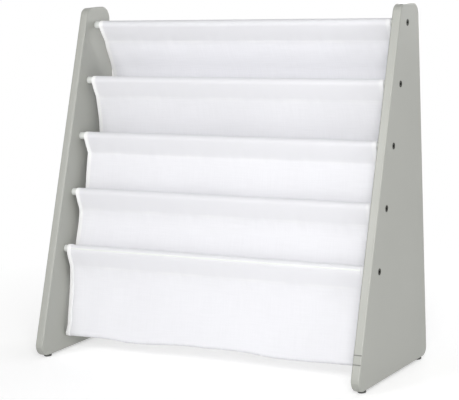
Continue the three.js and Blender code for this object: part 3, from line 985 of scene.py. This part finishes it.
def bottom_fold(u):
    """How far the bottom pocket's fold rises over its plain height, softened along the rack."""
    fine = np.linspace(-1, 1, 81)
    rises = np.interp(fine, FOLD_PLACES, [rise * MM for rise in FOLD_RISES])
    return np.interp(u, fine, np.convolve(np.pad(rises, 2, "edge"), np.ones(5) / 5, "valid"))


def cross_section(settings, layer):
    """The strip across its width, from the inner edge of the left hem, round the left side, across
    and round the right side: share of the width, offset along X, depth, X on the top sleeve and
    the way across when it lies flat."""
    hem = settings.hem
    # How far the hem's edges stand out over the plain cloth
    relief = 0.12 * MM
    # Pairs of (distance from the side, depth): the hem turned in, the side's turn and the outer face
    hem_pairs = [(part * hem, relief - layer) for part in (1, 0.75, 0.4)]
    turns = [math.pi * n / 4 for n in range(5)]
    r = layer / 2
    hem_pairs += [(r - r * math.sin(a), relief - r - r * math.cos(a)) for a in turns]
    # The stitches pull the hem in
    dents = ((0.25, 0.0), (0.55, 0.0), (HEM_STITCHES, 0.16 * MM), (1, 0.04 * MM), (1.15, relief))
    hem_pairs += [(part * hem, relief - dent) for part, dent in dents]
    distance, deep = np.array(hem_pairs).T
    plain, edge = np.zeros(CLOTH_POINTS), np.ones(len(distance))
    share = np.concatenate([-edge, np.linspace(-1, 1, CLOTH_POINTS), edge])
    offset = np.concatenate([distance - EDGE_BAND, plain, (EDGE_BAND - distance)[::-1]])
    depth = np.concatenate([deep, plain, deep[::-1]])
    x = share * (sleeve_halves[0] - EDGE_BAND) + offset
    return share, offset, depth, x, np.concatenate([[0], np.cumsum(np.hypot(np.diff(x), np.diff(depth)))])


def grid_mesh(name, points, across, along, marks):
    """A mesh of quads through rows of points, with a UV map named cloth in metres. marks holds a
    value for each point, by the name of its attribute."""
    rows, columns = points.shape[:2]
    mesh = bpy.data.meshes.new(name)
    index = np.arange(rows * columns).reshape(rows, columns)
    quads = np.stack([index[:-1, :-1], index[:-1, 1:], index[1:, 1:], index[1:, :-1]], 2).reshape(-1, 4)
    mesh.from_pydata(points.reshape(-1, 3), [], quads)
    uv = np.stack(np.meshgrid(across, along), 2).reshape(-1, 2)[quads.reshape(-1)]
    mesh.uv_layers.new(name="cloth").data.foreach_set("uv", uv.astype(np.float32).reshape(-1))
    for title, values in marks.items():
        mark(mesh, title, values)
    return mesh


class BOOKSHELF_OT_sling(bpy.types.Operator):
    """Make the strip of cloth that hangs from the rods as four pockets"""

    bl_idname = "bookshelf.sling"
    bl_label = "Sling"

    def execute(self, context):
        settings = context.scene.bookshelf.sling
        strip = Strip(settings)
        share, offset, depth, x, flat = cross_section(settings, strip.layer)
        # A hem fades out round its inner edge
        hem = np.interp((EDGE_BAND - np.abs(offset)) / settings.hem, (0.9, 1.1), (1, 0))
        # The right hem gets a weaker painted highlight than the left one
        hem *= np.where(share == -1, 1.0, np.where(share == 1, RIGHT_HEM_HIGHLIGHT, 0.0))
        # The painted highlight along a seam comes and goes in two waves along it
        seam, kinds = strip.seam[:, None], ((0.3, 1 / (23 * MM)), (0.2, 1 / (9 * MM)))
        highlight_streaks = 0.5 + waves(x, kinds, (2.6 * seam, 1.3 * seam))
        doubled_and_highlit = SEAM_HIGHLIGHT * bell(strip.from_seam, SEAM_HIGHLIGHT_REACH)[:, None]
        layers = np.maximum(hem, doubled_and_highlit * highlight_streaks)
        over_rod = np.repeat(strip.over_rod[:, None], len(share), 1)
        marks = {"layers": layers, "over_rod": over_rod}
        single = grid_mesh("sling_cloth", strip.points(share, offset, depth), flat, strip.way, marks)
        work = placed("sling_work", single)
        thick = work.modifiers.new("thick", "SOLIDIFY")
        thick.thickness, thick.offset, thick.use_even_offset = settings.cloth, 0.0, False
        mesh = taken_as_mesh(work)
        mesh.shade_smooth()
        nodes = [f"cloth_sleeve_{i}" for i in RODS] + [f"cloth_pocket_{k}" for k in POCKETS]
        cloth = finished("sling_cloth", mesh, woven_canvas(settings), "white_cloth", *nodes)
        stitches = sewn(settings, strip)
        return {"FINISHED"}


def stitching_tree():
    """Geometry Nodes: a row of stitches along each line, lying flat on the cloth."""
    kinds = {"Stitch": "Float", "Gap": "Float", "Thread": "Float"}
    tree, sockets, given = node_group("Stitches On Lines", kinds)
    stitch, thread = given["Stitch"], given["Thread"]
    curve = node(tree, "GeometryNodeMeshToCurve", {"Mesh": given["Geometry"]}).outputs[0]
    pitch = {"Curve": curve, "Length": maths(tree, "ADD", stitch, given["Gap"])}
    marks = node(tree, "GeometryNodeCurveToPoints", pitch, mode="LENGTH").outputs
    align = "FunctionNodeAlignRotationToVector"
    along = node(tree, align, {"Vector": marks["Tangent"]}, axis="X").outputs[0]
    facing = {"Rotation": along, "Vector": stored(tree, "facing", "FLOAT_VECTOR")}
    flat = node(tree, align, facing, axis="Z", pivot_axis="X").outputs[0]
    radius = maths(tree, "MULTIPLY", thread, 0.5)
    size = {"Vertices": 5, "Side Segments": 3, "Radius": radius, "Depth": stitch}
    upright = node(tree, "GeometryNodeMeshCylinder", size, fill_type="TRIANGLE_FAN").outputs["Mesh"]
    turned = {"Geometry": upright, "Rotation": (0, math.pi / 2, 0)}
    lying = node(tree, "GeometryNodeTransform", turned).outputs[0]
    # The stitch is an arch whose two ends go 0.8 of its thread down into the cloth
    place = node(tree, "ShaderNodeSeparateXYZ", {0: node(tree, "GeometryNodeInputPosition").outputs[0]})
    reach = maths(tree, "DIVIDE", place.outputs["X"], stitch)
    drop = maths(tree, "MULTIPLY", maths(tree, "MULTIPLY", reach, reach), -0.8 / 0.5**2)
    sunk = node(tree, "ShaderNodeCombineXYZ", {"Z": maths(tree, "MULTIPLY", drop, thread)}).outputs[0]
    arched = node(tree, "GeometryNodeSetPosition", {"Geometry": lying, "Offset": sunk}).outputs[0]
    smooth = node(tree, "GeometryNodeSetShadeSmooth", {"Geometry": arched}).outputs[0]
    end_group(tree, marks["Points"], smooth, flat, given["Finish"])
    return tree, sockets


def sewn(settings, strip):
    """The stitches: a row along every seam, seen from the front and the back, and a row along each
    side hem, seen on both faces of the cloth."""
    lines, facings = [], []
    # A stitch's middle lies 0.3 of its thread over the cloth
    seat = settings.cloth / 2 + 0.3 * settings.thread

    def add(points, facing):
        lines.append(points)
        facings.append(np.concatenate([np.zeros((len(facing), 1)), facing], 1))

    across = np.linspace(-1, 1, SEAM_POINTS)
    for way in strip.seam_ways:
        row = strip.nearest(way)
        # Round the last rod the strip runs the other way, and its outward direction turns inward
        side = -1 if strip.seam[row] > len(rod_places) - 1.5 else 1
        depth = np.full(len(across), side * seat)
        points = strip.points(across, across * (EDGE_BAND - SEAM_END), depth, slice(row, row + 1))[0]
        add(points, np.repeat(side * strip.out[row][None, :], len(across), 0))
    inset = EDGE_BAND - HEM_STITCHES * settings.hem
    for sign in (-1, 1):
        for deep in (seat, -seat - strip.layer):
            place = np.array([[sign], [sign * inset], [deep]])
            add(strip.points(*place)[:, 0], math.copysign(1, deep) * strip.out)

    mesh = bpy.data.meshes.new("stitch_lines")
    starts = np.cumsum([0] + [len(line) for line in lines])
    joins = [(i, i + 1) for a, b in zip(starts, starts[1:]) for i in range(a, b - 1)]
    mesh.from_pydata(np.concatenate(lines), joins, [])
    facing = np.concatenate(facings).astype(np.float32)
    mesh.attributes.new("facing", "FLOAT_VECTOR", "POINT").data.foreach_set("vector", facing.reshape(-1))
    values = {"Stitch": settings.stitch, "Gap": settings.stitch_gap, "Thread": settings.thread}
    made = run_tree(mesh, *stitching_tree(), {**values, "Finish": spun_thread(settings)})
    return finished("sling_stitches", made, None, "white_cloth")


# The camera stands where the photograph was taken, in metres and radians
CAMERA_PLACE = (1.4255, -2.3832, 0.7425)
CAMERA_YAW, CAMERA_PITCH, CAMERA_ROLL = 0.53404, 0.1658, -0.04282
FOCAL_PIXELS, PICTURE_PIXELS, SENSOR = 1640.85, 459, 36.0


def add_camera():
    """The camera at the photograph's view."""
    yaw, pitch, roll = CAMERA_YAW, CAMERA_PITCH, CAMERA_ROLL
    forward = Vector((-math.sin(yaw) * math.cos(pitch), math.cos(yaw) * math.cos(pitch), -math.sin(pitch)))
    level = Vector((math.cos(yaw), math.sin(yaw), 0))
    right = Matrix.Rotation(-roll, 3, forward) @ level
    up = right.cross(forward)
    data = bpy.data.cameras.new("camera")
    data.sensor_width = SENSOR
    data.lens = SENSOR * FOCAL_PIXELS / PICTURE_PIXELS
    data.clip_start, data.clip_end = 0.05, 40
    camera = placed("camera", data)
    turned = Matrix((right, up, -forward)).transposed().to_4x4()
    camera.matrix_world = Matrix.Translation(CAMERA_PLACE) @ turned
    bpy.context.scene.camera = camera


# Where each lamp stands, and its width and height, in metres. All point at the rack's middle.
LAMPS = {
    "left": ((-1.0, -2.0, 1.3), (0.8, 0.8)),
    "right": ((1.2, -1.8, 1.3), (0.8, 0.8)),
    "low": ((1.3, -1.8, 0.6), (0.8, 0.5)),
    "side": ((2.0, -0.5, 0.35), (0.9, 0.5)),
    "back": ((0.1, 1.9, 0.9), (1.4, 1.0)),
}
MIDDLE = (0, 0, 0.3)
FLOOR_REACH = 6.0
WHITE = (1, 1, 1, 1)


def add_lamp(name, place, size, power):
    """A soft lamp that points at the rack's middle."""
    data = bpy.data.lights.new(name, "AREA")
    data.shape, data.energy = "RECTANGLE", power
    data.size, data.size_y = size
    direction = Vector(MIDDLE) - Vector(place)
    turned = direction.to_track_quat("-Z", "Y").to_matrix().to_4x4()
    placed(name, data).matrix_world = Matrix.Translation(place) @ turned


def seen_directly(tree):
    """1 where a ray comes from the camera, a reflection or glass, else 0."""
    rays = node(tree, "ShaderNodeLightPath").outputs
    either = maths(tree, "MAXIMUM", rays["Is Camera Ray"], rays["Is Glossy Ray"])
    return maths(tree, "MAXIMUM", either, rays["Is Transmission Ray"])


def white_floor(settings):
    """Matt white paper. The camera sees it a little brighter than it is, so that it is white where
    nothing shades it and keeps its shadows, and further away it fades to plain white."""
    paper, tree, shader, at = surface("matt_white_paper", settings.floor)
    seen = seen_directly(tree)
    boost = spread(tree, seen, 1.0, settings.floor_boost, 0.0, 1.0)
    scale = node(tree, "ShaderNodeVectorMath", {0: settings.floor[:3], "Scale": boost}, operation="SCALE")
    diffuse = node(tree, "ShaderNodeBsdfDiffuse", {"Color": scale.outputs[0]})
    plain = node(tree, "ShaderNodeEmission", {"Color": WHITE, "Strength": 1.0})
    distance = node(tree, "ShaderNodeVectorMath", {0: at}, operation="LENGTH").outputs["Value"]
    # The fade starts at 0.4 of the way to where it ends
    fade = (0.4 * settings.floor_fade, settings.floor_fade)
    faded = spread(tree, distance, settings.floor_veil, 1.0, *fade)
    mixed(tree, "Material Output", maths(tree, "MULTIPLY", faded, seen), diffuse, plain)
    tree.nodes.remove(shader)
    return paper


class BOOKSHELF_OT_stage(bpy.types.Operator):
    """Make the floor, the white surroundings, the lamps and the camera"""

    bl_idname = "bookshelf.stage"
    bl_label = "Stage"

    def execute(self, context):
        settings = context.scene.bookshelf.stage
        scene = context.scene
        scene.view_settings.view_transform = "Standard"
        world = bpy.data.worlds.new("white_surroundings")
        scene.world = world
        world.use_nodes = True
        tree = world.node_tree
        light = node(tree, "ShaderNodeBackground", {"Color": WHITE, "Strength": settings.sky})
        white = node(tree, "ShaderNodeBackground", {"Color": WHITE, "Strength": 1.0})
        mixed(tree, "World Output", seen_directly(tree), light, white)

        mesh = bpy.data.meshes.new("floor")
        corners = [(x * FLOOR_REACH, y * FLOOR_REACH, 0) for x, y in ((-1, -1), (1, -1), (1, 1), (-1, 1))]
        mesh.from_pydata(corners, [], [(0, 1, 2, 3)])
        placed("floor", mesh)
        mesh.materials.append(white_floor(settings))

        for name, (place, size) in LAMPS.items():
            add_lamp(name, place, size, getattr(settings, f"{name}_power"))
        add_camera()
        return {"FINISHED"}


STEPS = ("stage", "side_panels", "rods", "screws", "glides", "sling")


class BOOKSHELF_PT_sidebar(bpy.types.Panel):
    """Lists the steps that make the bookshelf"""

    bl_idname = "BOOKSHELF_PT_sidebar"
    bl_label = "Sling Bookshelf"
    bl_space_type = "VIEW_3D"
    bl_region_type = "UI"
    bl_category = "Bookshelf"

    def draw(self, context):
        for step in STEPS:
            self.layout.operator(f"bookshelf.{step}")
        settings = context.scene.bookshelf
        for group in (settings.panels, settings.rods, settings.sling, settings.glides, settings.stage):
            box = self.layout.box()
            for name in group.__annotations__:
                box.prop(group, name)


CLASSES = (
    PanelSettings,
    RodSettings,
    SlingSettings,
    GlideSettings,
    StageSettings,
    BookshelfSettings,
    BOOKSHELF_OT_stage,
    BOOKSHELF_OT_side_panels,
    BOOKSHELF_OT_rods,
    BOOKSHELF_OT_screws,
    BOOKSHELF_OT_glides,
    BOOKSHELF_OT_sling,
    BOOKSHELF_PT_sidebar,
)


def register():
    for cls in CLASSES:
        bpy.utils.register_class(cls)
    bpy.types.Scene.bookshelf = PointerProperty(type=BookshelfSettings)


def unregister():
    del bpy.types.Scene.bookshelf
    for cls in reversed(CLASSES):
        bpy.utils.unregister_class(cls)


def main():
    """Makes the whole scene."""
    register()
    for step in STEPS:
        getattr(bpy.ops.bookshelf, step)()
    bpy.context.view_layer.update()


if __name__ == "__main__":
    main()
